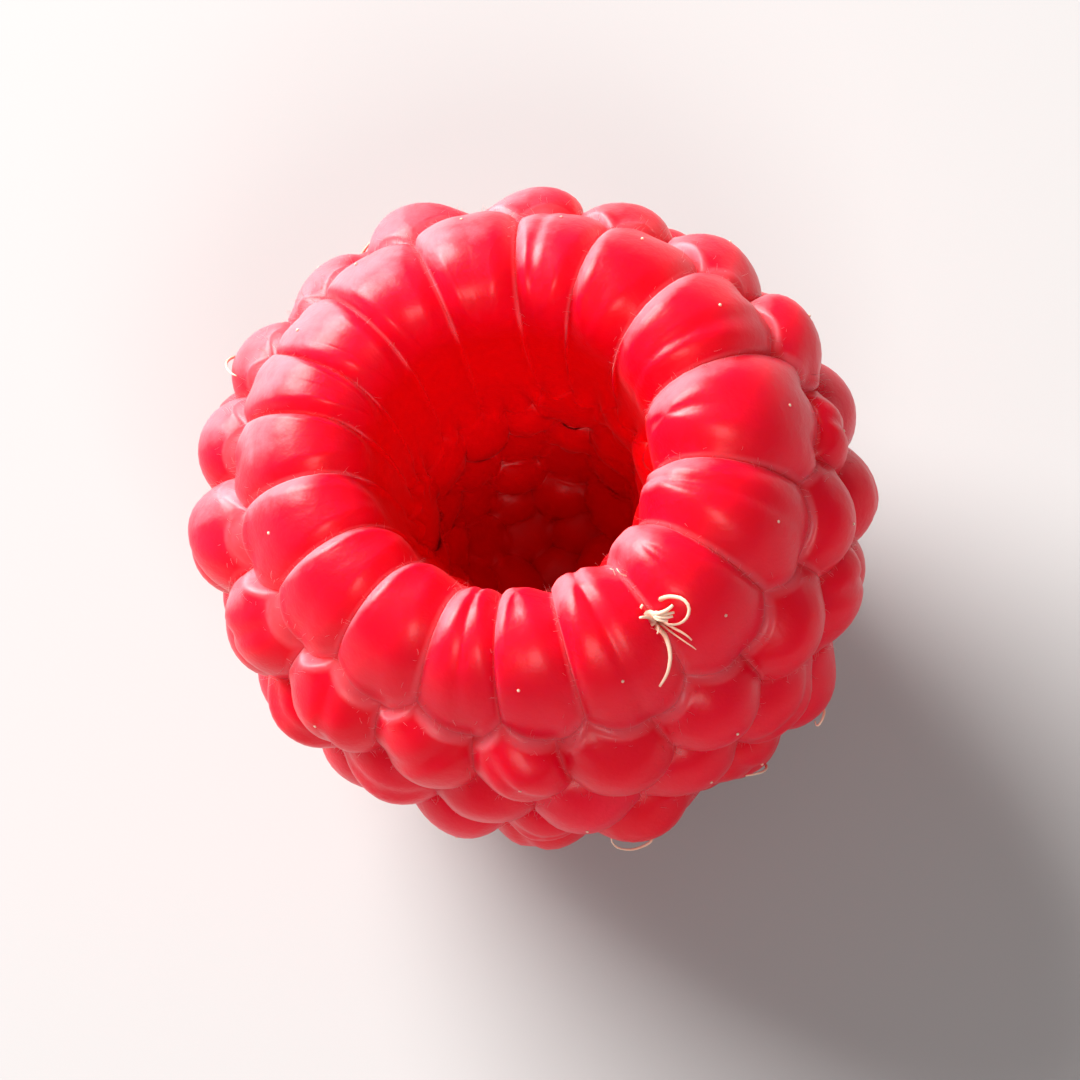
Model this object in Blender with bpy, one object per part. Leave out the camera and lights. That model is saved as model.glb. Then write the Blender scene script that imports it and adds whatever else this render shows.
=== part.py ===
"""A picked raspberry, standing on its blunt tip with the open hollow upwards.

Metres, +Z up. The origin is on the surface that the berry stands on, under the middle of its width.

The berry is one grown piece: about 120 drupelets that join into a single cup-shaped body around the hollow
that the receptacle left, which the narrow inner ends of the drupelets line. The body is laid out in three
steps. Seeds, one for each drupelet, are set in rows along the berry's profile. The hull of those seeds on a
sphere, turned into its dual, gives each drupelet a cell between its neighbours. Each cell is then raised
from the groove around it into a plump dome.
"""

import math
import random

import bmesh
import bpy
import numpy as np
from mathutils import Vector
from mathutils.geometry import interpolate_bezier

MM = 0.001

# The groove surface: what is left of the berry under its drupelets' domes, as (radius, height) from the tip,
# up the outside, over the rim and down the hollow.
PROFILE = [
    (0.0, 1.3),
    (3.3, 1.35),
    (6.4, 3.5),
    (8.3, 7.4),
    (9.0, 11.2),
    (8.5, 15.0),
    (7.4, 17.1),
    (5.9, 17.8),
    (4.7, 16.6),
    (4.0, 14.0),
    (3.5, 10.6),
    (2.5, 7.7),
    (0.0, 6.3),
]
STEPS_PER_SPAN = 24

# Drupelets.
RIM_SHARES = [30, 20, 32, 20, 19, 25, 26, 13, 12, 19, 24, 13, 26, 18, 11, 34, 17]  # widths round the rim
RIM_TURN = math.radians(-32)  # where the first of them begins
RIM_SEEDS = (-2.3 * MM, 0.0, 2.2 * MM, 4.2 * MM)  # a rim drupelet wraps over the crest: its cell joins these
RIM_STRAY = 0.4 * MM
RIM_OUTSIDE = 5.2 * MM  # from the rim's crest to the next row outside
RIM_INSIDE = 6.1 * MM  # from the rim's crest to the next row in the hollow
FUNNEL_TURN = math.radians(135)  # the side where the hollow opens into a long smooth funnel
FUNNEL_SWAY = 0.3  # how much further the rim drupelets reach there, and less on the other side
ROW_PITCH = 2.7 * MM
DRUPELET_WIDTH = 3.1 * MM
CELL_PITCH = 1.7 * MM  # rows in the hollow, where only the drupelets' narrow inner ends show
CELL_WIDTH = 1.8 * MM
SCATTER = 0.13  # how far a seed strays, as a share of its pitch
BULGE = {"tip": 0.85, "side": 0.9, "rim": 1.05, "hollow": 0.45}  # dome height over the cell's half width
BULGE_SPREAD = {"tip": 0.0, "side": 0.12, "rim": 0.16, "hollow": 0.4}
FUNNEL_RELIEF = 0.15  # how much of a rim drupelet's height is left at its inner end
RELIEF_FALLS = (0.2 * MM, 3.4 * MM)  # where it falls, from the rim's crest inwards
FULLNESS = 2.0  # of a dome's outline, where more is squarer
EDGE = 0.55  # how a dome leaves its groove: 0.5 rises straight up, 1 slopes
OVAL = 2.6  # of a rim drupelet seen from above, where 2 is an ellipse and more is squarer
OVAL_WIDTH = 0.75  # the share of its outline's points that are narrower than the oval
PLUMP = 0.3  # how much fuller a rim drupelet's ends are than its sides
SADDLE = 0.35  # how far a groove rises between its corners, over the cell's half width
SADDLE_FALL = 9  # how soon that evens out over the dome
LOPSIDED = ((2, 0.025, -0.2), (3, 0.01, 0.9))  # (lobes, share of the radius, turn) that widen the berry
RANDOM_SEED = 11

# The mesh.
SIDE_STEP = 1.25 * MM  # the longest straight piece of a cell's side
RINGS = {"tip": 3, "side": 3, "rim": 3, "hollow": 1}
CONTACT_DEPTH = 0.22 * MM  # how far the soft tip flattens where it stands


def profile_tables():
    """Samples of the groove surface: angle on the layout sphere, arc length, radius, height and normal.

    The sphere's angle t follows from dt / sin(t) = ds / r, which keeps shapes true in the small, so a hull
    of points on the sphere joins the same neighbours as on the berry.
    """
    knots = [Vector((r, z)) * MM for r, z in PROFILE]
    mirrored = [Vector((-k.x, k.y)) for k in (knots[1], knots[-2])]
    around = [mirrored[0], *knots, mirrored[1]]
    slopes = [(after - before) / 6 for before, after in zip(around, around[2:])]
    line = []
    for i in range(len(knots) - 1):
        a, b = knots[i], knots[i + 1]
        span = interpolate_bezier(a, a + slopes[i], b - slopes[i + 1], b, STEPS_PER_SPAN + 1)
        line += span[:-1]
    line.append(knots[-1])
    radius, height = np.array([p[:2] for p in line]).T
    radius[[0, -1]] = 0.0
    step = np.hypot(np.diff(radius), np.diff(height))
    arc = np.concatenate([[0.0], np.cumsum(step)])
    middle = (radius[1:] + radius[:-1]) / 2
    spread = np.concatenate([[0.0], np.cumsum((step / middle)[1:-1])])
    crest = int(np.argmax(height))
    spread -= spread[crest - 1]
    angle = np.concatenate([[0.0], 2 * np.arctan(np.exp(spread)), [math.pi]])
    normal_r, normal_z = np.gradient(height, arc), -np.gradient(radius, arc)
    normal_r[[0, -1]] = 0.0
    return {
        "angle": angle,
        "arc": arc,
        "radius": radius,
        "height": height,
        "normal_r": normal_r,
        "normal_z": normal_z,
        "crest": arc[crest],
    }


def sway(turn):
    """How much further the rim drupelets reach into the hollow at a turn, as a share."""
    return FUNNEL_SWAY * math.cos(turn - FUNNEL_TURN)


def direction(table, arc, turn):
    """The layout sphere's point for an arc length along the profile and a turn about the axis."""
    angle = np.interp(arc, table["arc"], table["angle"])
    return Vector((math.sin(angle) * math.cos(turn), math.sin(angle) * math.sin(turn), -math.cos(angle)))


def inwards(table, point):
    """0 outside the rim, rising to 1 in the hollow's funnel, where the rim drupelets are almost flat."""
    angle = math.atan2(math.hypot(point.x, point.y), -point.z)
    arc = float(np.interp(angle, table["angle"], table["arc"]))
    past = (arc - table["crest"]) / (1 - sway(math.atan2(point.y, point.x)))
    share = (past - RELIEF_FALLS[0]) / (RELIEF_FALLS[1] - RELIEF_FALLS[0])
    share = min(max(share, 0.0), 1.0)
    return share * share * (3 - 2 * share)


def on_berry(table, point, lift=0.0):
    """The place on the berry for a point of the layout sphere, lifted off the groove surface by a dome."""
    angle = math.atan2(math.hypot(point.x, point.y), -point.z)
    turn = math.atan2(point.y, point.x)
    radius, height, normal_r, normal_z = (
        float(np.interp(angle, table["angle"], table[name]))
        for name in ("radius", "height", "normal_r", "normal_z")
    )
    radius = (radius + lift * normal_r) * (1 + sum(a * math.cos(n * (turn - at)) for n, a, at in LOPSIDED))
    return Vector((radius * math.cos(turn), radius * math.sin(turn), height + lift * normal_z))


def seeds(table, chance):
    """(drupelet, kind, point on the layout sphere) for each seed; a rim drupelet has several."""
    found = []

    def plant(kind, arcs, turn, drupelet):
        found.extend((drupelet, kind, direction(table, arc, turn)) for arc in arcs)

    def row(kind, arc, count, pitch, scatter, tilt=0.0):
        start = chance.uniform(0, 2 * math.pi)
        for k in range(count):
            turn = start + 2 * math.pi * (k + chance.uniform(-scatter, scatter)) / count
            stray = pitch * chance.uniform(-scatter, scatter)
            plant(kind, [arc + stray + tilt * sway(turn)], turn, len(found))

    def count_at(arc, width):
        return max(1, round(2 * math.pi * np.interp(arc, table["arc"], table["radius"]) / width))

    last = table["crest"] - RIM_OUTSIDE
    rows = round(last / ROW_PITCH)
    for k in range(rows + 1):
        arc = last * k / rows
        kind = "tip" if k < 2 else "side"
        row(kind, arc, count_at(arc, DRUPELET_WIDTH), ROW_PITCH, 0.0 if k < 2 else SCATTER)
    turn = RIM_TURN
    for share in RIM_SHARES:
        wide = 2 * math.pi * share / sum(RIM_SHARES)
        stray = chance.uniform(-1, 1) * RIM_STRAY
        reach = 1 + sway(turn + wide / 2)
        arcs = [table["crest"] + stray + (arc * reach if arc > 0 else arc) for arc in RIM_SEEDS]
        plant("rim", arcs, turn + wide / 2, len(found))
        turn += wide
    first, end = table["crest"] + RIM_INSIDE, table["arc"][-1]
    rows = round((end - first) / CELL_PITCH)
    for k in range(rows + 1):
        arc = first + (end - first) * k / rows
        tilt = RIM_INSIDE * (1 - k / rows)
        row("hollow", arc, count_at(arc, CELL_WIDTH), CELL_PITCH, SCATTER if k < rows else 0.0, tilt)
    return found


def cells(mesh, planted):
    """Fills the mesh with one face for each drupelet, from the dual of the seeds' hull.

    Returns {face: (kind, its highest seed, and both ends of its spine, on the layout sphere)}.
    """
    for _, _, point in planted:
        mesh.verts.new(point)
    bmesh.ops.convex_hull(mesh, input=mesh.verts[:])
    middles, sides = mesh.verts[:], mesh.edges[:]
    corners = bmesh.ops.poke(mesh, faces=mesh.faces[:])["verts"]
    for corner in corners:
        corner.co.normalize()
    bmesh.ops.rotate_edges(mesh, edges=sides)
    bmesh.ops.dissolve_verts(mesh, verts=middles)
    members = {}
    for face in mesh.faces:
        toward = face.calc_center_median().normalized()
        drupelet, kind, point = max(planted, key=lambda seed: seed[2].dot(toward))
        members.setdefault(drupelet, []).append((face, kind, point))
    owners = {}
    for group in members.values():
        face, kind, _ = group[0]
        faces = [f for f, _, _ in group]
        if len(group) > 1:
            face = bmesh.ops.dissolve_faces(mesh, faces=faces, use_verts=True)["region"][0]
        points = [point for _, _, point in group]
        spread = [(a, b) for a in points for b in points]
        crown = min(points, key=lambda point: abs(point.z))
        owners[face] = (kind, crown, *min(spread, key=lambda ends: ends[0].dot(ends[1])))
    return owners


def split_sides(mesh, table):
    """Splits the long sides of the cells, and notes how far each groove rises between its corners."""
    rise = mesh.verts.layers.float.new("rise")
    for side in mesh.edges[:]:
        a, b = (v.co.copy() for v in side.verts)
        cuts = math.ceil((on_berry(table, a) - on_berry(table, b)).length / SIDE_STEP) - 1
        if cuts < 1:
            continue
        split = bmesh.ops.bisect_edges(mesh, edges=[side], cuts=cuts)["geom_split"]
        for v in (x for x in split if isinstance(x, bmesh.types.BMVert)):
            share = (v.co - a).length / (b - a).length
            v[rise] = max(0.0, math.sin(math.pi * share))
            v.co.normalize()


def rounded(outline, along):
    """Each point of a cell's outline, drawn in or out to an oval of the cell's length and width."""
    lengths = [abs(out.dot(along)) for out in outline]
    widths = [(out - along * out.dot(along)).length for out in outline]
    longest, widest = max(lengths), sorted(widths)[int(len(widths) * OVAL_WIDTH)]
    found = []
    for out, length, width in zip(outline, lengths, widths):
        size = ((length / longest) ** OVAL + (width / widest) ** OVAL) ** (1 / OVAL)
        found.append(out / size)
    return found


def evened(outline):
    """Each point of a cell's outline, drawn in or out to a circle of the cell's mean size."""
    size = sum(out.length for out in outline) / len(outline)
    return [out.normalized() * size for out in outline]


def raise_dome(mesh, face, kind, crown, spine, table, chance):
    """Raises one cell into a dome: rings of the cell's outline, each nearer its middle and higher.

    A long drupelet rises sooner from the ends of its spine than from its sides, so its ends stay plump.
    """
    rise = mesh.verts.layers.float["rise"]
    middle = (spine[0] + spine[1]) / 2
    along = (spine[1] - spine[0]).normalized()
    outline = [v.co - middle for v in face.verts]
    rises = [v[rise] for v in face.verts]
    across = [out - along * out.dot(along) for out in outline]
    oval = rounded(outline, along) if kind == "rim" else evened(outline)
    core = on_berry(table, crown)
    widths = sorted((on_berry(table, crown + out) - core).length for out in across)
    half_width = widths[len(widths) // 2]
    height = half_width * BULGE[kind] * (1 + chance.uniform(-1, 1) * BULGE_SPREAD[kind])
    groove = half_width * SADDLE
    corners = list(zip(face.verts, rises))
    placed = []
    for ring in range(1, RINGS[kind] + 1):
        share = math.cos(math.pi / 2 * ring / (RINGS[kind] + 1)) ** (2 / FULLNESS)
        bmesh.ops.inset_individual(mesh, faces=[face], thickness=0)
        for v, out, round_out, rose in zip(face.verts, outline, oval, rises):
            out = out.lerp(round_out, 1 - share**2)
            place = middle + out * share
            fullness = FULLNESS / (1 - PLUMP * out.normalized().dot(along) ** 2)
            lift = (1 - share**fullness) ** EDGE
            flat = (1 - FUNNEL_RELIEF) * inwards(table, place) if kind == "rim" else 0.0
            rim = groove * rose * share**SADDLE_FALL
            placed.append((v, on_berry(table, place, height * lift * (1 - flat) + rim)))
    top = bmesh.ops.poke(mesh, faces=[face])["verts"][0]
    placed.append((top, on_berry(table, middle, height)))
    return placed, [(v, groove * rose) for v, rose in corners]


def raise_domes(mesh, owners, table, chance):
    """Raises every cell, then moves the groove network from the layout sphere to the berry."""
    placed, grooves = [], {}
    for face, (kind, crown, *spine) in owners.items():
        dome, edge = raise_dome(mesh, face, kind, crown, spine, table, chance)
        placed += dome
        for v, rose in edge:
            grooves.setdefault(v, []).append(rose)
    for v, rises in grooves.items():
        placed.append((v, on_berry(table, v.co, min(rises))))
    for v, place in placed:
        v.co = place


def stand(mesh):
    """Centres the berry on the origin and flattens the tip where it bears on the surface."""
    low = [min(v.co[i] for v in mesh.verts) for i in range(3)]
    high = [max(v.co[i] for v in mesh.verts) for i in range(3)]
    middle = Vector(((low[0] + high[0]) / 2, (low[1] + high[1]) / 2, low[2] + CONTACT_DEPTH))
    bmesh.ops.translate(mesh, verts=mesh.verts[:], vec=-middle)
    everything = mesh.verts[:] + mesh.edges[:] + mesh.faces[:]
    cut = bmesh.ops.bisect_plane(
        mesh, geom=everything, dist=1e-7, plane_co=(0, 0, 0), plane_no=(0, 0, -1), clear_outer=True
    )["geom_cut"]
    rims = [x for x in cut if isinstance(x, bmesh.types.BMEdge)]
    bmesh.ops.edgeloop_fill(mesh, edges=rims)
    bmesh.ops.recalc_face_normals(mesh, faces=mesh.faces[:])


def flesh():
    """The berry's skin colour, a ripe and slightly glossy red."""
    material = bpy.data.materials.new("ripe_drupelet_skin")
    material.use_nodes = True
    shader = material.node_tree.nodes["Principled BSDF"]
    shader.inputs["Base Color"].default_value = (0.62, 0.008, 0.03, 1.0)
    shader.inputs["Roughness"].default_value = 0.32
    shader.inputs["Metallic"].default_value = 0.0
    return material


def main():
    for old in list(bpy.data.objects):
        bpy.data.objects.remove(old)
    chance = random.Random(RANDOM_SEED)
    table = profile_tables()
    mesh = bmesh.new()
    owners = cells(mesh, seeds(table, chance))
    split_sides(mesh, table)
    raise_domes(mesh, owners, table, chance)
    stand(mesh)
    data = bpy.data.meshes.new("raspberry")
    mesh.to_mesh(data)
    mesh.free()
    data.shade_smooth()
    data.materials.append(flesh())
    bpy.context.scene.collection.objects.link(bpy.data.objects.new("raspberry", data))


main()
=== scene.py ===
"""A picked raspberry: fruit skin, dried styles and fine down, on a plain pale floor under soft light."""

import math
import random

import bmesh
import bpy
import numpy as np
from bpy.props import FloatProperty, FloatVectorProperty, IntProperty, PointerProperty
from bpy.types import Operator, Panel, PropertyGroup
from mathutils import Matrix, Quaternion, Vector, noise
from mathutils.bvhtree import BVHTree
from mathutils.geometry import interpolate_bezier


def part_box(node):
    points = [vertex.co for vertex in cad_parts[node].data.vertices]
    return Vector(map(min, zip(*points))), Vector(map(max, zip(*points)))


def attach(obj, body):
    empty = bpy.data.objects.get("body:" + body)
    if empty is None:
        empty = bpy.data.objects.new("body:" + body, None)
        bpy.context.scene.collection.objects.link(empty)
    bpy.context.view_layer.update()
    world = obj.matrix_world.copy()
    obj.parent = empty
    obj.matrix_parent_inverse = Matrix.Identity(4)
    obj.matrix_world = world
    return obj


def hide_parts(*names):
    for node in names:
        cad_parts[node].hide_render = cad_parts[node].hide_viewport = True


bl_info = {
    "name": "Raspberry",
    "version": (1, 0, 0),
    "blender": (4, 5, 0),
    "location": "View3D > Sidebar > Raspberry",
    "description": "Builds a picked raspberry with its styles and down, and a plain studio stage",
    "category": "Add Mesh",
}

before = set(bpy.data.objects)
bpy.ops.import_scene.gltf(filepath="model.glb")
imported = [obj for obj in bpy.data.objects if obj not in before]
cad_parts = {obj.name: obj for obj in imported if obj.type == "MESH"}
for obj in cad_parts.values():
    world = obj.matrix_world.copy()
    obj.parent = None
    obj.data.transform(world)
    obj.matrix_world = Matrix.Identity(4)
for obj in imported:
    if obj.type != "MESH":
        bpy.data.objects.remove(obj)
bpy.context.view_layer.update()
BERRY_LOW, BERRY_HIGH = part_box("raspberry")

MM = 0.001

# The groove surface under the drupelets' domes, as (radius, height) in mm from the tip, up the outside, over
# the rim and down the hollow.
PROFILE = [
    (0.0, 1.3),
    (3.3, 1.35),
    (6.4, 3.5),
    (8.3, 7.4),
    (9.0, 11.2),
    (8.5, 15.0),
    (7.4, 17.1),
    (5.9, 17.8),
    (4.7, 16.6),
    (4.0, 14.0),
    (3.5, 10.6),
    (2.5, 7.7),
    (0.0, 6.3),
]
STEPS_PER_SPAN = 24

# Where the drupelets sit.
TIP_ROWS = 2  # rows that close the tip, evenly spaced
RIM_SHARES = [30, 20, 32, 20, 19, 25, 26, 13, 12, 19, 24, 13, 26, 18, 11, 34, 17]  # widths round the rim
RIM_TURN = math.radians(-32)  # where the first of them begins
RIM_SEEDS = (-2.3 * MM, 0.0, 2.2 * MM, 4.2 * MM)  # a rim drupelet wraps over the crest: its cell joins these
RIM_STRAY = 0.4 * MM
RIM_OUTSIDE = 5.2 * MM  # from the rim's crest to the next row outside
RIM_INSIDE = 6.1 * MM  # from the rim's crest to the next row in the hollow
FUNNEL_TURN = math.radians(135)  # the side where the hollow opens into a long smooth funnel
FUNNEL_SWAY = 0.3  # how much further the rim drupelets reach there, and less on the other side
ROW_PITCH = 2.7 * MM
DRUPELET_WIDTH = 3.1 * MM
CELL_PITCH = 1.7 * MM  # rows in the hollow, where only the drupelets' narrow inner ends show
CELL_WIDTH = 1.8 * MM
SCATTER = 0.13  # how far a seed strays, as a share of its pitch
RANDOM_SEED = 11

# Their shape.
BULGE = {"tip": 0.85, "side": 0.9, "rim": 1.05, "hollow": 0.45}  # dome height over the cell's half width
BULGE_SPREAD = {"tip": 0.0, "side": 0.12, "rim": 0.16, "hollow": 0.4}
RELIEF_FALLS = (0.2 * MM, 3.4 * MM)  # where the rim drupelets flatten, from the rim's crest inwards
EDGE = 0.55  # how a dome leaves its groove: 0.5 rises straight up, 1 slopes
OVAL = 2.6  # of a rim drupelet seen from above, where 2 is an ellipse and more is squarer
OVAL_WIDTH = 0.75  # the share of its outline's points that are narrower than the oval
PLUMP = 0.3  # how much fuller a rim drupelet's ends are than its sides
SADDLE = 0.35  # how far a groove rises between its corners, over the cell's half width
SADDLE_FALL = 9  # how soon that evens out over the dome
LOPSIDED = ((2, 0.025, -0.2), (3, 0.01, 0.9))  # (lobes, share of the radius, turn) that widen the berry
CONTACT_DEPTH = 0.22 * MM  # how far the soft tip flattens where it stands
CUT_TOLERANCE = 1e-7
LUMP_SIZE = 1.6 * MM
LEAN = 0.14  # how far a dome's top strays, as a share of the cell's size
LEAN_FADE = 1.5  # how soon that evens out down the dome
CREASED = 0.3  # share of the drupelets with a shallow crease
CREASE_WIDTH = 0.16  # as a share of the cell's size
CREASE_STRAY = 0.4  # how far from the cell's middle it runs at most, as a share of the cell's size
GROOVE_RIPENESS = 0.5

# The dried styles.
SCAR_AT = 0.75  # a rim drupelet's scar, from its crest to its outer seed
SCARRED = 0.5  # share of the drupelets where a stub stands up from its scar
SCAR_LOWEST = 2.5 * MM  # none is left under the tip, which wears them off
STUB_HEIGHTS = (0.15, 0.5)  # lowest and highest, over a style's width
STUB_LEAN = 0.3  # over its height
STUB_ROOT = 0.4  # its depth in the skin, over a style's width
STUB_SHOULDER = 0.6  # share of its height where it starts to narrow
STUB_RADII = (0.55, 0.45, 0.25)  # at its root, shoulder and top, over a style's width
STUB_SIDES = 8
STYLE_HIGHEST = 15 * MM  # handling brushes the threads off the rim
STYLE_LENGTHS = (0.3, 1.0)  # least and most, over the length of the longest
STYLE_CURL = 140  # the most that one curls to either side, in degrees
STYLE_STEP = 0.16 * MM
STYLE_STEPS = 8  # the fewest
STYLE_SIDES = 6
STYLE_ARCH = 0.18 * MM  # how high a style arches over the skin
STYLE_CLEARANCE = 0.6  # how high its middle line lies where it doesn't arch, over its width
STYLE_SINK = 0.45  # how much of the way it drops at each step where it stands too high
STYLE_TAPER = 0.6
TUFT_TURN = math.radians(-46)
TUFT_RADIUS = 7.8 * MM
# Each strand's heading and curl in degrees, then its start along its heading, its length and width in mm.
TUFT = (
    (50, -240, 0.9, 2.2, 0.16),
    (-30, -60, 0.1, 2.3, 0.2),
    (-15, -60, 0.3, 1.3, 0.12),
    (-42, -30, 0.3, 1.6, 0.08),
    (-85, 0, 0.3, 0.4, 0.12),
    (10, 40, -0.45, 1.0, 0.22),
    (40, -40, -0.4, 0.9, 0.2),
    (-20, 30, -0.5, 1.0, 0.22),
    (75, -30, -0.4, 0.8, 0.18),
    (-50, 40, -0.35, 0.8, 0.22),
    (150, 50, -0.4, 0.8, 0.18),
    (100, 50, -0.2, 0.6, 0.2),
    (92, 10, 0.25, 1.3, 0.08),
    (104, 20, 0.3, 1.5, 0.07),
    (152, -10, 0.25, 1.4, 0.08),
    (163, -20, 0.3, 1.1, 0.07),
    (84, 25, 0.3, 1.0, 0.06),
    (172, 0, 0.3, 0.9, 0.06),
)

# The down.
HAIRY_GROOVE = 0.8  # hairs root at least this near to a groove, where 1 is in it
HAIRY_INSIDE = 0.6  # and no further than this into the hollow, where 1 is all the way down the funnel
HAIR_LENGTHS = (0.4, 1.0)  # least and most, over the length of the longest
HAIR_SPLAY = 0.7  # how far they lean off the skin's normal
HAIR_BENDS = (0.1, 0.4)  # least and most, over the hair's length
HAIR_STEPS = 3
HAIR_SIDES = 3
HAIR_TAPER = 0.8

# A pale veil on the skin, as the values between which it thickens. Beside the grooves it is partly the down,
# which is thickest there, and partly a painted sheen of that down. The paler side is not real down: it paints
# on the berry a soft shine that the key light should give, and it stays there in any light. Below the upper
# part it fades out, a painted shade that keeps the lower rows darker.
PAINTED_SHEEN_TOWARD = Vector((-0.6, 0.6, 0.53))  # the way that the paler side faces, which is the key light's own
VEIL_SHEEN_FACING = (0.88, 1.3)  # how far the skin faces that way, together with its patches
# Beside the grooves the veil is partly the down and partly a painted sheen of it.
VEIL_GROOVE = (0.9, 1.0)  # how near a groove is
VEIL_INSIDE = (0.95, 0.45)  # how far into the hollow
# The veil fades out below the first height and is full above the second: a painted shade on the lower rows.
VEIL_HEIGHT = (9.5 * MM, 17 * MM)
PATCHINESS = 0.5  # how much the skin's cloudy patches count in it
# Painted sheen: the strongest on the side that faces the key light.
PAINTED_SHEEN_SHARE = 0.7  # the strongest veil on the paler side
GROOVE_SHARE = 0.45  # and what the grooves add to it

# The mesh.
SIDE_STEP = 0.23 * MM  # the longest straight piece of a cell's side
RINGS = {"tip": 9, "side": 9, "rim": 12, "hollow": 5}
SKIN_LAYERS = ("groove", "ripeness", "inside", "scar")  # what the skin's material and trim read, per vertex

# The stage, in metres.
FLOOR_RADIUS = 0.9
FLOOR_SIDES = 96
LIGHT_DISTANCE = 0.6
LIGHT_COLOUR = (1.0, 0.96, 0.92)
KEY_BEARING = (135, 32)  # its turn about +Z from +X, and its rise, in degrees
KEY_SIZE = 0.4
FILL_BEARING = (-75, 50)
FILL_SIZE = 0.22
FILL_SHARE = 0.12  # its power over the key light's
SKY_COLOUR = (1.0, 0.97, 0.95, 1.0)
CLIP = (0.01, 10)  # the nearest and furthest that the camera sees


def linear(colour):
    """A hex sRGB colour as linear red, green and blue."""
    parts = [int(colour[i : i + 2], 16) / 255 for i in (0, 2, 4)]
    return [c / 12.92 if c <= 0.04045 else ((c + 0.055) / 1.055) ** 2.4 for c in parts]


def colour_property(name, description, colour):
    return FloatVectorProperty(
        name=name, description=description, subtype="COLOR", min=0, max=1, default=linear(colour)
    )


class BerryShape(PropertyGroup):
    fullness: FloatProperty(
        name="Fullness", description="2 is a round dome, more is a fuller one", default=2.0, min=1.5, max=4
    )
    funnel_relief: FloatProperty(
        name="Funnel relief",
        description="How much of a rim drupelet's height is left at its inner end",
        default=0.15,
        min=0,
        max=1,
        subtype="FACTOR",
    )
    lumps: FloatProperty(
        name="Lumps",
        description="How far the skin wanders from a perfect dome",
        default=0.07 * MM,
        min=0,
        unit="LENGTH",
    )
    crease: FloatProperty(
        name="Crease",
        description="Depth of a crease over the height of its dome",
        default=0.1,
        min=0,
        max=0.5,
        subtype="FACTOR",
    )


class BerryColours(PropertyGroup):
    ripe: colour_property("Ripe skin", "The drupelets' skin where it is ripest", "e00022")
    fresh: colour_property("Fresh skin", "The lighter skin of the less ripe drupelets", "ee1038")
    hollow: colour_property("Hollow", "Flesh that lines the hollow", "dc000a")
    # Pale pink of the down, also mixed into the skin as a painted sheen beside the grooves and on the key
    # light's side.
    down_and_sheen: colour_property("Bloom", "Pale pink bloom where the down is densest", "f0808c")
    style: colour_property("Style", "Dried styles, the threads on the drupelets", "e88a70")
    style_tip: colour_property("Style tip", "The bleached ends of the styles", "fdd4bc")
    down: colour_property("Down", "The fine hairs along the grooves", "f6c4be")
    floor: colour_property("Floor", "The pale floor", "acacae")


class BerryTrim(PropertyGroup):
    hairs: IntProperty(name="Hairs", description="How many hairs the down has", default=4500, min=0)
    hair_length: FloatProperty(
        name="Hair length", description="Length of the longest hairs", default=0.3 * MM, min=0, unit="LENGTH"
    )
    hair_width: FloatProperty(
        name="Hair width",
        description="Width of a hair at its root",
        default=0.012 * MM,
        min=0,
        unit="LENGTH",
    )
    style_share: FloatProperty(
        name="Styles",
        description="Share of the outer drupelets that keep their style",
        default=0.12,
        min=0,
        max=1,
        subtype="FACTOR",
    )
    style_length: FloatProperty(
        name="Style length",
        description="Length of the longest styles",
        default=2.0 * MM,
        min=0,
        unit="LENGTH",
    )
    style_width: FloatProperty(
        name="Style width",
        description="Width of a style at its root",
        default=0.11 * MM,
        min=0,
        unit="LENGTH",
    )


class Studio(PropertyGroup):
    tilt: FloatProperty(
        name="Tilt",
        description="Angle between the view and straight down",
        default=math.radians(20),
        subtype="ANGLE",
    )
    turn: FloatProperty(
        name="Turn",
        description="Direction from the berry to the camera, about +Z from +X",
        default=math.radians(-72),
        subtype="ANGLE",
    )
    distance: FloatProperty(
        name="Distance", description="From the berry to the camera", default=0.3, min=0.05, unit="LENGTH"
    )
    view_width: FloatProperty(
        name="View width",
        description="Width that the camera takes in at the berry",
        default=0.034,
        unit="LENGTH",
    )
    key_power: FloatProperty(
        name="Key light", description="Power of the key light", default=13.0, min=0, unit="POWER"
    )
    sky: FloatProperty(name="Sky", description="Strength of the even light all round", default=0.2, min=0)


def profile_tables():
    """Samples of the groove surface: layout angle, arc length, radius, height and outward normal.

    The layout angle t follows from dt / sin(t) = ds / r. That keeps shapes true in the small, so a hull of
    points on the layout sphere joins the same neighbours as on the berry. The curve through the knots has
    handles of a sixth of the way between each knot's neighbours.
    """
    knots = [Vector((r, z)) * MM for r, z in PROFILE]
    mirrored = [Vector((-k.x, k.y)) for k in (knots[1], knots[-2])]
    around = [mirrored[0], *knots, mirrored[1]]
    slopes = [(after - before) / 6 for before, after in zip(around, around[2:])]
    line = []
    for i in range(len(knots) - 1):
        a, b = knots[i], knots[i + 1]
        span = interpolate_bezier(a, a + slopes[i], b - slopes[i + 1], b, STEPS_PER_SPAN + 1)
        line += span[:-1]
    line.append(knots[-1])
    radius, height = np.array([p[:2] for p in line]).T
    radius[[0, -1]] = 0.0
    step = np.hypot(np.diff(radius), np.diff(height))
    arc = np.concatenate([[0.0], np.cumsum(step)])
    middle = (radius[1:] + radius[:-1]) / 2
    spread = np.concatenate([[0.0], np.cumsum((step / middle)[1:-1])])
    crest = int(np.argmax(height))
    spread -= spread[crest - 1]
    angle = np.concatenate([[0.0], 2 * np.arctan(np.exp(spread)), [math.pi]])
    normal_r, normal_z = np.gradient(height, arc), -np.gradient(radius, arc)
    normal_r[[0, -1]] = 0.0
    return {
        "angle": angle,
        "arc": arc,
        "radius": radius,
        "height": height,
        "normal_r": normal_r,
        "normal_z": normal_z,
        "crest": arc[crest],
    }


def sway(turn):
    """How much further the rim drupelets reach into the hollow at a turn, as a share."""
    return FUNNEL_SWAY * math.cos(turn - FUNNEL_TURN)


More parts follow.
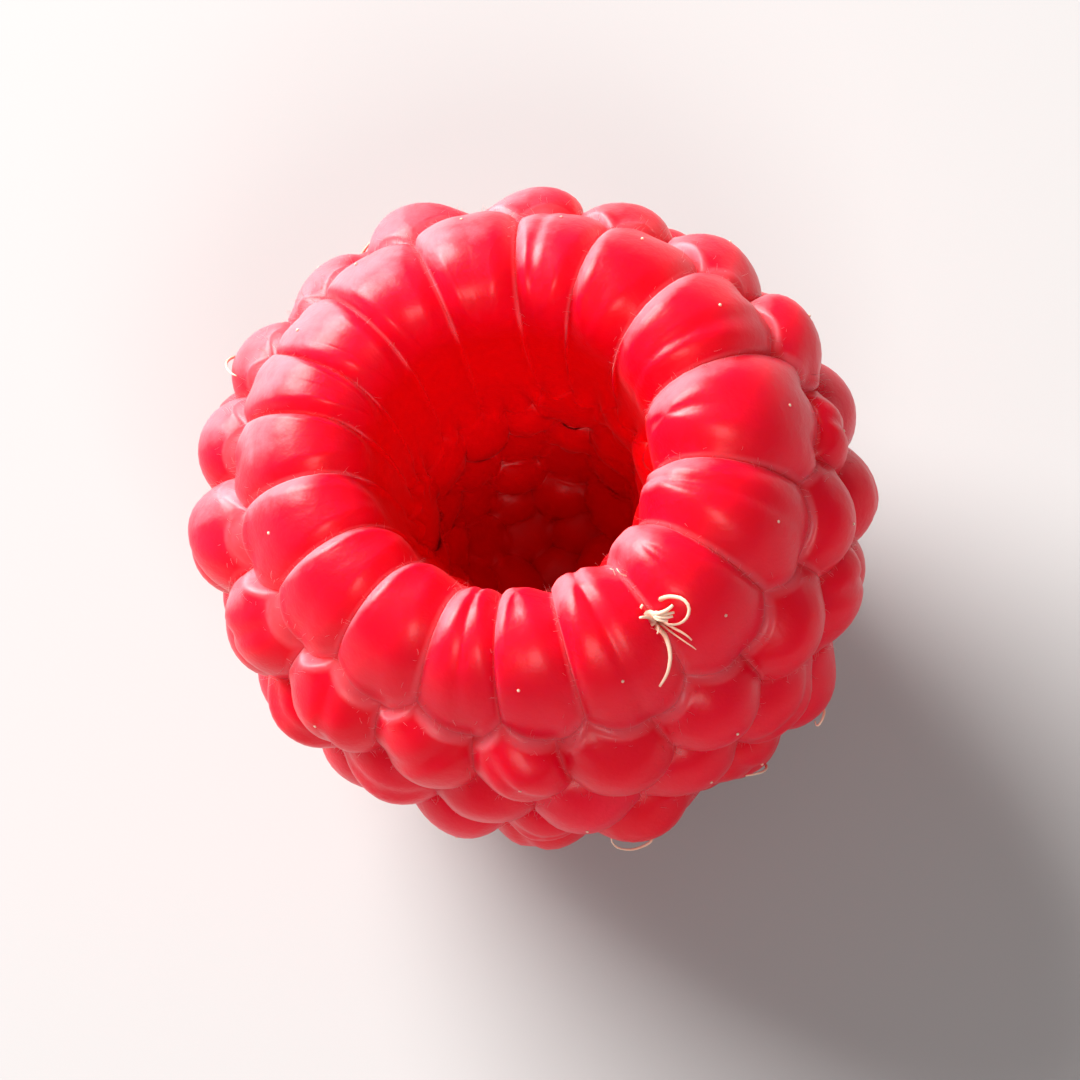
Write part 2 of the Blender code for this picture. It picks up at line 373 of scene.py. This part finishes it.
def direction(table, arc, turn):
    """The layout sphere's point for an arc length along the profile and a turn about the axis."""
    angle = np.interp(arc, table["arc"], table["angle"])
    return Vector((math.sin(angle) * math.cos(turn), math.sin(angle) * math.sin(turn), -math.cos(angle)))


def inwards(table, point):
    """0 outside the rim, rising to 1 in the hollow's funnel, where the rim drupelets are almost flat."""
    angle = math.atan2(math.hypot(point.x, point.y), -point.z)
    arc = float(np.interp(angle, table["angle"], table["arc"]))
    past = (arc - table["crest"]) / (1 - sway(math.atan2(point.y, point.x)))
    share = (past - RELIEF_FALLS[0]) / (RELIEF_FALLS[1] - RELIEF_FALLS[0])
    share = min(max(share, 0.0), 1.0)
    return share * share * (3 - 2 * share)


def on_berry(table, point, lift=0.0):
    """The place on the berry for a point of the layout sphere, lifted off the groove surface by a dome."""
    angle = math.atan2(math.hypot(point.x, point.y), -point.z)
    turn = math.atan2(point.y, point.x)
    radius, height, normal_r, normal_z = (
        float(np.interp(angle, table["angle"], table[name]))
        for name in ("radius", "height", "normal_r", "normal_z")
    )
    radius = (radius + lift * normal_r) * (1 + sum(a * math.cos(n * (turn - at)) for n, a, at in LOPSIDED))
    return Vector((radius * math.cos(turn), radius * math.sin(turn), height + lift * normal_z))


def seeds(table, chance):
    """(drupelet, kind, point on the layout sphere) for each seed, of which a rim drupelet has several.

    Rows go up the outside from the tip. The rim drupelets follow, and then rows from there down the hollow.
    """
    found = []

    def plant(kind, arcs, turn, drupelet):
        found.extend((drupelet, kind, direction(table, arc, turn)) for arc in arcs)

    def row(kind, arc, count, pitch, scatter, tilt=0.0):
        start = chance.uniform(0, 2 * math.pi)
        for k in range(count):
            turn = start + 2 * math.pi * (k + chance.uniform(-scatter, scatter)) / count
            stray = pitch * chance.uniform(-scatter, scatter)
            plant(kind, [arc + stray + tilt * sway(turn)], turn, len(found))

    def count_at(arc, width):
        return max(1, round(2 * math.pi * np.interp(arc, table["arc"], table["radius"]) / width))

    last = table["crest"] - RIM_OUTSIDE
    rows = round(last / ROW_PITCH)
    for k in range(rows + 1):
        arc = last * k / rows
        kind, scatter = ("tip", 0.0) if k < TIP_ROWS else ("side", SCATTER)
        row(kind, arc, count_at(arc, DRUPELET_WIDTH), ROW_PITCH, scatter)
    turn = RIM_TURN
    for share in RIM_SHARES:
        wide = 2 * math.pi * share / sum(RIM_SHARES)
        stray = chance.uniform(-1, 1) * RIM_STRAY
        reach = 1 + sway(turn + wide / 2)
        arcs = [table["crest"] + stray + (arc * reach if arc > 0 else arc) for arc in RIM_SEEDS]
        plant("rim", arcs, turn + wide / 2, len(found))
        turn += wide
    first, end = table["crest"] + RIM_INSIDE, table["arc"][-1]
    rows = round((end - first) / CELL_PITCH)
    for k in range(rows + 1):
        arc = first + (end - first) * k / rows
        tilt = RIM_INSIDE * (1 - k / rows)
        row("hollow", arc, count_at(arc, CELL_WIDTH), CELL_PITCH, SCATTER if k < rows else 0.0, tilt)
    return found


def cells(mesh, planted):
    """Fills the mesh with one face for each drupelet, from the dual of the seeds' hull.

    Poking the hull's faces puts a corner in each, turning its sides joins those corners, and dissolving the
    seeds leaves one cell around each. The cells of one drupelet's seeds are then joined.

    Returns {face: (kind, its highest seed, and both ends of its spine, on the layout sphere)}.
    """
    for _, _, point in planted:
        mesh.verts.new(point)
    bmesh.ops.convex_hull(mesh, input=mesh.verts[:])
    middles, sides = mesh.verts[:], mesh.edges[:]
    corners = bmesh.ops.poke(mesh, faces=mesh.faces[:])["verts"]
    for corner in corners:
        corner.co.normalize()
    bmesh.ops.rotate_edges(mesh, edges=sides)
    bmesh.ops.dissolve_verts(mesh, verts=middles)
    members = {}
    for face in mesh.faces:
        toward = face.calc_center_median().normalized()
        drupelet, kind, point = max(planted, key=lambda seed: seed[2].dot(toward))
        members.setdefault(drupelet, []).append((face, kind, point))
    owners = {}
    for group in members.values():
        face, kind, _ = group[0]
        if len(group) > 1:
            faces = [member for member, _, _ in group]
            face = bmesh.ops.dissolve_faces(mesh, faces=faces, use_verts=True)["region"][0]
        points = [point for _, _, point in group]
        spread = [(a, b) for a in points for b in points]
        crown = min(points, key=lambda point: abs(point.z))
        owners[face] = (kind, crown, *min(spread, key=lambda ends: ends[0].dot(ends[1])))
    return owners


def split_sides(mesh, table):
    """Splits the long sides of the cells, and notes how far each groove rises between its corners."""
    rise = mesh.verts.layers.float["rise"]
    for side in mesh.edges[:]:
        a, b = (v.co.copy() for v in side.verts)
        cuts = math.ceil((on_berry(table, a) - on_berry(table, b)).length / SIDE_STEP) - 1
        if cuts < 1:
            continue
        split = bmesh.ops.bisect_edges(mesh, edges=[side], cuts=cuts)["geom_split"]
        for v in (x for x in split if isinstance(x, bmesh.types.BMVert)):
            share = (v.co - a).length / (b - a).length
            v[rise] = max(0.0, math.sin(math.pi * share))
            v.co.normalize()


def rounded(outline, along):
    """Each point of a cell's outline, drawn in or out to an oval of the cell's length and width."""
    lengths = [abs(out.dot(along)) for out in outline]
    widths = [(out - along * out.dot(along)).length for out in outline]
    longest, widest = max(lengths), sorted(widths)[int(len(widths) * OVAL_WIDTH)]
    found = []
    for out, length, width in zip(outline, lengths, widths):
        size = ((length / longest) ** OVAL + (width / widest) ** OVAL) ** (1 / OVAL)
        found.append(out / size)
    return found


def evened(outline):
    """Each point of a cell's outline, drawn in or out to a circle of the cell's mean size."""
    size = sum(out.length for out in outline) / len(outline)
    return [out.normalized() * size for out in outline]


def raise_dome(mesh, face, kind, crown, spine, table, shape, chance, quirks):
    """Raises one cell into a dome: rings of the cell's outline, each nearer its middle and higher.

    A long drupelet rises sooner from the ends of its spine than from its sides, so its ends stay plump. Its
    quirks are random numbers of their own, which lean it over, crease it and set how ripe it is. The scar of
    its style is at its top, or on the outer end of a rim drupelet.
    """
    rise = mesh.verts.layers.float["rise"]
    middle = (spine[0] + spine[1]) / 2
    along = (spine[1] - spine[0]).normalized()
    outline = [v.co - middle for v in face.verts]
    rises = [v[rise] for v in face.verts]
    across = [out - along * out.dot(along) for out in outline]
    oval = rounded(outline, along) if kind == "rim" else evened(outline)
    core = on_berry(table, crown)
    widths = sorted((on_berry(table, crown + out) - core).length for out in across)
    half_width = widths[len(widths) // 2]
    height = half_width * BULGE[kind] * (1 + chance.uniform(-1, 1) * BULGE_SPREAD[kind])
    groove = half_width * SADDLE

    size = sum(out.length for out in across) / len(across)
    random_way = Vector([quirks.uniform(-1, 1) for _ in range(3)])
    lean = (random_way - middle * random_way.dot(middle) / middle.length_squared) * LEAN * size
    crease_way = along if kind == "rim" else random_way
    crease_side = crease_way.cross(middle).normalized()
    crease_at = quirks.uniform(-CREASE_STRAY, CREASE_STRAY) * size
    crease = shape.crease * height if quirks.random() < CREASED else 0.0
    ripeness = quirks.random()

    def dome(out, rose, share):
        place = middle + out * share
        lift = (1 - share ** (shape.fullness / (1 - PLUMP * out.normalized().dot(along) ** 2))) ** EDGE
        aside = (place - middle).dot(crease_side) - crease_at
        dent = crease * math.exp(-((aside / (CREASE_WIDTH * size)) ** 2)) * (1 - share**4)
        bump = shape.lumps * noise.noise(on_berry(table, place, height * lift) / LUMP_SIZE) * (1 - share**2)
        if kind == "rim":
            flat = (1 - shape.funnel_relief) * inwards(table, place)
            lift, dent = lift * (1 - flat), dent * (1 - flat)
        place += lean * (1 - share) ** LEAN_FADE
        saddle = groove * rose * share**SADDLE_FALL
        return on_berry(table, place, height * lift + saddle - dent + bump), place

    corners = list(zip(face.verts, rises))
    placed = []
    for ring in range(1, RINGS[kind] + 1):
        share = math.cos(math.pi / 2 * ring / (RINGS[kind] + 1)) ** (2 / shape.fullness)
        bmesh.ops.inset_individual(mesh, faces=[face], thickness=0)
        for v, out, round_out, rose in zip(face.verts, outline, oval, rises):
            at, place = dome(out.lerp(round_out, 1 - share**3), rose, share)
            placed.append([v, at, share, ripeness, inwards(table, place), 0.0])
    top = bmesh.ops.poke(mesh, faces=[face])["verts"][0]
    at, place = dome(Vector(), 0.0, 0.0)
    placed.append([top, at, 0.0, ripeness, inwards(table, place), float(kind in ("tip", "side"))])
    if kind == "rim":
        outer = min(spine, key=lambda point: point.z)
        outer_end = on_berry(table, outer * SCAR_AT + crown * (1 - SCAR_AT), height)
        min(placed, key=lambda entry: (entry[1] - outer_end).length)[-1] = 1.0
    return placed, [(v, groove * rose) for v, rose in corners]


def raise_domes(mesh, owners, table, shape, chance):
    """Raises every cell, then moves the groove network from the layout sphere to the berry."""
    quirks = random.Random(RANDOM_SEED + 1)
    placed, grooves = [], {}
    for face, (kind, crown, *spine) in owners.items():
        dome, edge = raise_dome(mesh, face, kind, crown, spine, table, shape, chance, quirks)
        placed += dome
        for v, rose in edge:
            grooves.setdefault(v, []).append(rose)
    for v, rises in grooves.items():
        at = on_berry(table, v.co, min(rises))
        placed.append((v, at, 1.0, GROOVE_RIPENESS, inwards(table, v.co), 0.0))
    layers = [mesh.verts.layers.float[name] for name in SKIN_LAYERS]
    for v, at, *values in placed:
        v.co = at
        for layer, value in zip(layers, values):
            v[layer] = value


def stand(mesh):
    """Centres the berry in its CAD box and flattens the tip where it bears on the surface."""
    low = [min(v.co[i] for v in mesh.verts) for i in range(3)]
    high = [max(v.co[i] for v in mesh.verts) for i in range(3)]
    middle = Vector(((low[0] + high[0]) / 2, (low[1] + high[1]) / 2, low[2] + CONTACT_DEPTH))
    target = Vector(((BERRY_LOW.x + BERRY_HIGH.x) / 2, (BERRY_LOW.y + BERRY_HIGH.y) / 2, BERRY_LOW.z))
    bmesh.ops.translate(mesh, verts=mesh.verts[:], vec=target - middle)
    everything = mesh.verts[:] + mesh.edges[:] + mesh.faces[:]
    cut = bmesh.ops.bisect_plane(
        mesh,
        geom=everything,
        dist=CUT_TOLERANCE,
        plane_co=(0, 0, BERRY_LOW.z),
        plane_no=(0, 0, -1),
        clear_outer=True,
    )["geom_cut"]
    rims = [x for x in cut if isinstance(x, bmesh.types.BMEdge)]
    bmesh.ops.edgeloop_fill(mesh, edges=rims)
    bmesh.ops.recalc_face_normals(mesh, faces=mesh.faces[:])


def mark_sheen_facing(mesh):
    """Notes how far each part of the skin faces the key light's direction, where the material paints a sheen.
    """
    mesh.normal_update()
    sheen_facing = mesh.verts.layers.float.new("sheen_facing")
    for v in mesh.verts:
        v[sheen_facing] = v.normal.dot(PAINTED_SHEEN_TOWARD.normalized())


def add(tree, kind, inputs=None, **settings):
    """Adds a node with its settings, and sets its inputs or links them where a value is another's socket."""
    node = tree.nodes.new(kind)
    for name, value in settings.items():
        setattr(node, name, value)
    for name, value in (inputs or {}).items():
        if isinstance(value, bpy.types.NodeSocket):
            tree.links.new(value, node.inputs[name])
        else:
            node.inputs[name].default_value = value
    return node


def new_material(name):
    """A material with nothing in it but its output, and its node tree."""
    material = bpy.data.materials.new(name)
    material.use_nodes = True
    material.node_tree.nodes.clear()
    return material, material.node_tree


def finish_material(tree, shader, bump=None):
    if bump is not None:
        tree.links.new(bump.outputs["Normal"], shader.inputs["Normal"])
    add(tree, "ShaderNodeOutputMaterial", {"Surface": shader.outputs[0]})


def mixed(tree, share, first, second):
    """The colour socket of first turned into second by share."""
    mix = add(tree, "ShaderNodeMix", {"Factor": share, "A": first, "B": second}, data_type="RGBA")
    return mix.outputs["Result"]


def ramp(tree, value, low, high):
    """The socket of a value's smooth way from 0 at low to 1 at high."""
    inputs = {"Value": value, "From Min": low, "From Max": high}
    return add(tree, "ShaderNodeMapRange", inputs, interpolation_type="SMOOTHSTEP").outputs["Result"]


def drupelet_skin(colours):
    """Ripe raspberry skin: a thin moist film over red juice. Light sinks in and comes out redder."""
    material, tree = new_material("ripe_drupelet_skin")
    place = add(tree, "ShaderNodeTexCoord").outputs["Object"]
    groove, ripeness, inside, sheen_facing = (
        add(tree, "ShaderNodeAttribute", attribute_name=name).outputs["Fac"]
        for name in ("groove", "ripeness", "inside", "sheen_facing")
    )

    # Colour wanders over about a millimetre, as the juice below the skin does.
    clouds = add(
        tree,
        "ShaderNodeTexNoise",
        {"Vector": place, "Scale": 1 / (1.1 * MM), "Detail": 6.0, "Roughness": 0.58},
    )
    patchy = add(tree, "ShaderNodeMath", {0: ripeness, 1: clouds.outputs["Fac"]}, operation="MULTIPLY")
    skin = mixed(tree, patchy.outputs[0], colour(colours.ripe), colour(colours.fresh))

    # A pale veil lies beside the grooves, partly the down that is thickest there and partly a painted sheen
    # of it, and in patches on the side that faces the key light, which is painted shine. It fades out towards
    # the tip, a painted shade that keeps the lower rows darker, and ends at the hollow.
    height = add(tree, "ShaderNodeSeparateXYZ", {"Vector": place}).outputs["Z"]
    upper = ramp(tree, height, *VEIL_HEIGHT)
    outside = ramp(tree, inside, *VEIL_INSIDE)
    patches = {0: clouds.outputs["Fac"], 1: PATCHINESS, 2: sheen_facing}
    ragged = add(tree, "ShaderNodeMath", patches, operation="MULTIPLY_ADD")
    painted_sheen = ramp(tree, ragged.outputs[0], *VEIL_SHEEN_FACING)
    beside = ramp(tree, groove, *VEIL_GROOVE)
    veil = add(tree, "ShaderNodeMath", {0: painted_sheen, 1: PAINTED_SHEEN_SHARE}, operation="MULTIPLY").outputs[0]
    grooved = {0: beside, 1: GROOVE_SHARE, 2: veil}
    veil = add(tree, "ShaderNodeMath", grooved, operation="MULTIPLY_ADD").outputs[0]
    for share in (outside, upper):
        veil = add(tree, "ShaderNodeMath", {0: veil, 1: share}, operation="MULTIPLY").outputs[0]
    skin = mixed(tree, inside, skin, colour(colours.hollow))
    skin = mixed(tree, veil, skin, colour(colours.down_and_sheen))

    # The skin's own cells, 0.05 mm across, are drawn twice as coarse to show at all. Faint wrinkles half a
    # millimetre apart break up the shine.
    grain = add(tree, "ShaderNodeTexNoise", {"Vector": place, "Scale": 1 / (0.1 * MM), "Detail": 2.0})
    wrinkles = add(tree, "ShaderNodeTexNoise", {"Vector": place, "Scale": 1 / (0.5 * MM), "Detail": 2.0})
    relief = add(
        tree,
        "ShaderNodeMath",
        {0: wrinkles.outputs["Fac"], 1: 3.0, 2: grain.outputs["Fac"]},
        operation="MULTIPLY_ADD",
    )
    bump = add(tree, "ShaderNodeBump", {"Height": relief.outputs[0], "Strength": 0.5, "Distance": 0.02 * MM})

    # The coat is the film of moisture, and the sheen is what the down adds where the skin turns away.
    shader = add(
        tree,
        "ShaderNodeBsdfPrincipled",
        {
            "Base Color": skin,
            "Roughness": 0.4,
            "IOR": 1.42,
            "Specular IOR Level": 0.2,
            "Subsurface Weight": 1.0,
            "Subsurface Radius": (1.0, 0.1, 0.08),
            "Subsurface Scale": 2.5 * MM,
            "Coat Weight": 0.22,
            "Coat Roughness": 0.25,
            "Coat IOR": 1.4,
            "Sheen Weight": 0.05,
            "Sheen Roughness": 0.35,
            "Sheen Tint": (1.0, 0.5, 0.55, 1.0),
        },
    )
    finish_material(tree, shader, bump)
    return material


def dried_style(colours):
    """A dried style: once green, now a tan papery thread that is bleached and brittle at its end."""
    material, tree = new_material("dried_style_fibre")
    place = add(tree, "ShaderNodeTexCoord").outputs["Object"]
    along = add(tree, "ShaderNodeAttribute", attribute_name="along").outputs["Fac"]
    streaks = add(tree, "ShaderNodeTexNoise", {"Vector": place, "Scale": 1 / (0.25 * MM), "Detail": 3.0})
    fibre = mixed(tree, along, colour(colours.style), colour(colours.style_tip))
    fibre = mixed(tree, streaks.outputs["Fac"], fibre, colour(colours.style_tip))
    bump = add(
        tree, "ShaderNodeBump", {"Height": streaks.outputs["Fac"], "Strength": 0.4, "Distance": 0.02 * MM}
    )
    shader = add(
        tree,
        "ShaderNodeBsdfPrincipled",
        {
            "Base Color": fibre,
            "Roughness": 0.6,
            "Subsurface Weight": 0.4,
            "Subsurface Radius": (1.0, 0.6, 0.4),
            "Subsurface Scale": 0.1 * MM,
        },
    )
    finish_material(tree, shader, bump)
    return material


def plant_down(colours):
    """Plant down: clear hollow hairs that catch the light, so they read as a pale pink haze."""
    material, tree = new_material("plant_down")
    along = add(tree, "ShaderNodeAttribute", attribute_name="along").outputs["Fac"]
    hair = mixed(tree, along, colour(colours.down_and_sheen), colour(colours.down))
    shader = add(
        tree,
        "ShaderNodeBsdfPrincipled",
        {"Base Color": hair, "Roughness": 0.45, "Transmission Weight": 0.3, "IOR": 1.45},
    )
    finish_material(tree, shader)
    return material


def colour(value):
    """A colour property as a node's input takes it."""
    return (*value, 1.0)


def new_piece(name, mesh, material):
    """Makes a smooth piece of the mesh, which it frees, and ties it to the body and a material slot."""
    data = bpy.data.meshes.new(name)
    mesh.to_mesh(data)
    mesh.free()
    data.shade_smooth()
    data.materials.append(material)
    piece = bpy.data.objects.new(name, data)
    bpy.context.scene.collection.objects.link(piece)
    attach(piece, "root")
    return piece


def thread(points, radii, sides):
    """A closed thread along the points, as a loose mesh. Its layer along goes from 0 at its root to 1."""
    mesh = bmesh.new()
    along = mesh.verts.layers.float.new("along")
    heading = (points[1] - points[0]).normalized()
    placed = Matrix.Translation(points[0]) @ heading.to_track_quat("Z", "Y").to_matrix().to_4x4()
    ring = bmesh.ops.create_circle(mesh, cap_ends=True, segments=sides, radius=radii[0], matrix=placed)
    end = ring["verts"][0].link_faces[0]
    for k in range(1, len(points)):
        region = bmesh.ops.extrude_face_region(mesh, geom=[end])["geom"]
        end = next(x for x in region if isinstance(x, bmesh.types.BMFace))
        onward = (points[min(k + 1, len(points) - 1)] - points[k - 1]).normalized()
        swing = heading.rotation_difference(onward).to_matrix().to_4x4()
        heading = onward
        grow = Matrix.Scale(radii[k] / radii[k - 1], 4)
        move = Matrix.Translation(points[k]) @ swing @ grow @ Matrix.Translation(-points[k - 1])
        bmesh.ops.transform(mesh, matrix=move, verts=end.verts)
        for v in end.verts:
            v[along] = k / (len(points) - 1)
    bmesh.ops.recalc_face_normals(mesh, faces=mesh.faces[:])
    data = bpy.data.meshes.new("thread")
    mesh.to_mesh(data)
    mesh.free()
    return data


def gathered(threads):
    """One mesh of many loose ones, which it removes."""
    mesh = bmesh.new()
    for data in threads:
        mesh.from_mesh(data)
        bpy.data.meshes.remove(data)
    return mesh


def skin_mesh():
    """The finished skin, to root trim in."""
    mesh = bmesh.new()
    mesh.from_mesh(bpy.data.objects["raspberry_skin"].data)
    return mesh


def tangent(normal, chance):
    """A random unit direction across a normal."""
    way = Vector([chance.gauss(0, 1) for _ in range(3)])
    return (way - normal * way.dot(normal)).normalized()


class RASPBERRY_OT_fruit(Operator):
    """Builds the berry's skin: every drupelet and the hollow, as one closed surface"""

    bl_idname = "raspberry.fruit"
    bl_label = "Fruit"

    def execute(self, context):
        shape = context.scene.raspberry_shape
        table = profile_tables()
        chance = random.Random(RANDOM_SEED)
        mesh = bmesh.new()
        for name in ("rise", *SKIN_LAYERS):
            mesh.verts.layers.float.new(name)
        owners = cells(mesh, seeds(table, chance))
        split_sides(mesh, table)
        raise_domes(mesh, owners, table, shape, chance)
        stand(mesh)
        mark_sheen_facing(mesh)
        skin = drupelet_skin(context.scene.raspberry_colours)
        piece = new_piece("raspberry_skin", mesh, skin)
        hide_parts("raspberry")
        return {"FINISHED"}


class RASPBERRY_OT_styles(Operator):
    """Adds the dried styles: stubs on about half the drupelets, threads on a few, and a tuft on the rim"""

    bl_idname = "raspberry.styles"
    bl_label = "Dried styles"

    def execute(self, context):
        trim = context.scene.raspberry_trim
        chance = random.Random(RANDOM_SEED + 2)
        mesh = skin_mesh()
        rays = BVHTree.FromBMesh(mesh)
        scar, groove = (mesh.verts.layers.float[name] for name in ("scar", "groove"))
        marked = [v for v in mesh.verts if v[scar] > 0.5 and v.co.z > SCAR_LOWEST]
        scars = [(v.co.copy(), v.normal.copy()) for v in marked]
        wanted = Vector((TUFT_RADIUS * math.cos(TUFT_TURN), TUFT_RADIUS * math.sin(TUFT_TURN), BERRY_HIGH.z))
        rooted = min((v for v in mesh.verts if v[groove] == 1.0), key=lambda v: (v.co - wanted).length)
        root = rooted.co.copy()
        mesh.free()
        threads = []
        for at, normal in scars:
            if chance.random() < SCARRED:
                threads.append(stub(at, normal, trim, chance))
            if at.z < STYLE_HIGHEST and chance.random() < trim.style_share:
                length = trim.style_length * chance.uniform(*STYLE_LENGTHS)
                curl = math.radians(chance.uniform(-STYLE_CURL, STYLE_CURL))
                way = tangent(normal, chance)
                threads.append(style(at, normal, way, length, curl, trim.style_width, rays))
        up = Vector((0, 0, 1))
        for toward, curl, ahead, length, width in TUFT:
            way = Vector((math.cos(math.radians(toward)), math.sin(math.radians(toward)), 0))
            start, _, _, _ = rays.find_nearest(root + way * ahead * MM)
            threads.append(style(start, up, way, length * MM, math.radians(curl), width * MM, rays))
        fibre = dried_style(context.scene.raspberry_colours)
        new_piece("raspberry_styles", gathered(threads), fibre)
        return {"FINISHED"}


def stub(at, normal, trim, chance):
    """What is left of a style that broke off: a low blunt cone."""
    height = trim.style_width * chance.uniform(*STUB_HEIGHTS)
    lean = tangent(normal, chance) * height * STUB_LEAN
    rise = normal * height + lean
    points = [at - normal * trim.style_width * STUB_ROOT, at + rise * STUB_SHOULDER, at + rise]
    return thread(points, [trim.style_width * share for share in STUB_RADII], STUB_SIDES)


def style(root, normal, toward, length, curl, width, rays):
    """One style from its root on the skin: it arches over, lies along the drupelets and curls as it goes."""
    steps = max(STYLE_STEPS, round(length / STYLE_STEP))
    points = [root - normal * width]
    for k in range(steps):
        way = toward.copy()
        way.rotate(Quaternion(normal, curl * k / steps))
        _, across, _, _ = rays.find_nearest(points[-1])
        onward = points[-1] + (way - across * way.dot(across)).normalized() * length / steps
        near, across, _, _ = rays.find_nearest(onward)
        above = (onward - near).dot(across)
        arch = width * STYLE_CLEARANCE + STYLE_ARCH * math.sin(math.pi * k / steps)
        onward += across * (arch - above) * (1.0 if above < arch else STYLE_SINK)
        points.append(onward)
    radii = [width / 2 * (1 - STYLE_TAPER * k / steps) for k in range(steps + 1)]
    return thread(points, radii, STYLE_SIDES)


class RASPBERRY_OT_down(Operator):
    """Adds the down: fine pale hairs that grow along the grooves and round the mouth of the hollow"""

    bl_idname = "raspberry.down"
    bl_label = "Fine down"

    def execute(self, context):
        trim = context.scene.raspberry_trim
        chance = random.Random(RANDOM_SEED + 3)
        mesh = skin_mesh()
        groove = mesh.verts.layers.float["groove"]
        inside = mesh.verts.layers.float["inside"]
        roots = [
            face
            for face in mesh.faces
            if sum(v[groove] for v in face.verts) / len(face.verts) > HAIRY_GROOVE
            and face.verts[0][inside] < HAIRY_INSIDE
        ]
        hairs = []
        for face in chance.sample(roots, min(trim.hairs, len(roots))):
            hairs.append(hair(face.calc_center_median(), face.normal, trim, chance))
        mesh.free()
        down = plant_down(context.scene.raspberry_colours)
        new_piece("raspberry_down", gathered(hairs), down)
        return {"FINISHED"}


def hair(root, normal, trim, chance):
    """One hair, which bends over its length."""
    length = trim.hair_length * chance.uniform(*HAIR_LENGTHS)
    way = (normal + tangent(normal, chance) * HAIR_SPLAY).normalized()
    bend = tangent(way, chance) * length * chance.uniform(*HAIR_BENDS)
    shares = [k / HAIR_STEPS for k in range(HAIR_STEPS + 1)]
    points = [root + way * length * share + bend * share**2 for share in shares]
    radii = [trim.hair_width / 2 * (1 - HAIR_TAPER * share) for share in shares]
    return thread(points, radii, HAIR_SIDES)


def floor_finish(colours):
    """Matt painted board: plain, pale and without texture, so that it takes nothing from the berry."""
    material, tree = new_material("matt_board")
    shader = add(tree, "ShaderNodeBsdfPrincipled", {"Base Color": colour(colours.floor), "Roughness": 0.85})
    finish_material(tree, shader)
    return material


class RASPBERRY_OT_stage(Operator):
    """Adds the pale floor, the soft lights and the camera"""

    bl_idname = "raspberry.stage"
    bl_label = "Stage"

    def execute(self, context):
        scene = context.scene
        studio = scene.raspberry_studio
        middle = (BERRY_LOW + BERRY_HIGH) / 2
        add_floor(scene)
        add_softbox("key", middle, KEY_BEARING, KEY_SIZE, studio.key_power)
        add_softbox("fill", middle, FILL_BEARING, FILL_SIZE, studio.key_power * FILL_SHARE)
        add_sky(scene, studio.sky)
        add_camera(scene, studio, middle)
        scene.view_settings.view_transform = "Standard"
        return {"FINISHED"}


def bearing(turn, rise):
    """The direction at a turn about +Z from +X and a rise from the level."""
    return Vector((math.cos(rise) * math.cos(turn), math.cos(rise) * math.sin(turn), math.sin(rise)))


def add_floor(scene):
    mesh = bmesh.new()
    level = Matrix.Translation((0, 0, BERRY_LOW.z))
    bmesh.ops.create_circle(mesh, cap_ends=True, segments=FLOOR_SIDES, radius=FLOOR_RADIUS, matrix=level)
    data = bpy.data.meshes.new("floor")
    mesh.to_mesh(data)
    mesh.free()
    data.materials.append(floor_finish(scene.raspberry_colours))
    floor = bpy.data.objects.new("floor", data)
    scene.collection.objects.link(floor)


def add_softbox(name, middle, degrees, size, power):
    """A square soft light that looks at the berry from a bearing, its turn and rise in degrees."""
    toward = bearing(*(math.radians(angle) for angle in degrees))
    light = bpy.data.lights.new(name, "AREA")
    light.size = size
    light.color = LIGHT_COLOUR
    light.energy = power
    holder = bpy.data.objects.new(name, light)
    turned = toward.to_track_quat("Z", "Y").to_matrix().to_4x4()
    holder.matrix_world = Matrix.Translation(middle + toward * LIGHT_DISTANCE) @ turned
    bpy.context.scene.collection.objects.link(holder)


def add_sky(scene, strength):
    world = bpy.data.worlds.new("studio")
    world.use_nodes = True
    background = world.node_tree.nodes["Background"]
    background.inputs["Color"].default_value = SKY_COLOUR
    background.inputs["Strength"].default_value = strength
    scene.world = world


def add_camera(scene, studio, middle):
    """A camera that looks at the berry's middle, with +Y up the view."""
    camera = bpy.data.cameras.new("camera")
    camera.lens = camera.sensor_width * studio.distance / studio.view_width
    camera.clip_start, camera.clip_end = CLIP
    toward = bearing(studio.turn, math.pi / 2 - studio.tilt)
    up = (Vector((0, 1, 0)) - toward * toward.y).normalized()
    axes = Matrix((up.cross(toward), up, toward)).transposed()
    holder = bpy.data.objects.new("camera", camera)
    holder.matrix_world = Matrix.Translation(middle + toward * studio.distance) @ axes.to_4x4()
    scene.collection.objects.link(holder)
    scene.camera = holder


class VIEW3D_PT_raspberry(Panel):
    bl_label = "Raspberry"
    bl_idname = "VIEW3D_PT_raspberry"
    bl_space_type = "VIEW_3D"
    bl_region_type = "UI"
    bl_category = "Raspberry"

    def draw(self, context):
        for group in GROUPS:
            box = self.layout.box()
            holder = getattr(context.scene, group)
            for name in holder.bl_rna.properties.keys():
                if name not in ("rna_type", "name"):
                    box.prop(holder, name)
        for operator in STEPS:
            self.layout.operator(operator.bl_idname)


GROUPS = {
    "raspberry_shape": BerryShape,
    "raspberry_colours": BerryColours,
    "raspberry_trim": BerryTrim,
    "raspberry_studio": Studio,
}
STEPS = (RASPBERRY_OT_fruit, RASPBERRY_OT_styles, RASPBERRY_OT_down, RASPBERRY_OT_stage)
CLASSES = (*GROUPS.values(), *STEPS, VIEW3D_PT_raspberry)


def register():
    for item in CLASSES:
        bpy.utils.register_class(item)
    for name, group in GROUPS.items():
        setattr(bpy.types.Scene, name, PointerProperty(type=group))


def unregister():
    for name in GROUPS:
        delattr(bpy.types.Scene, name)
    for item in reversed(CLASSES):
        bpy.utils.unregister_class(item)


def main():
    register()
    bpy.ops.raspberry.fruit()
    bpy.ops.raspberry.styles()
    bpy.ops.raspberry.down()
    bpy.ops.raspberry.stage()


if __name__ == "__main__":
    main()
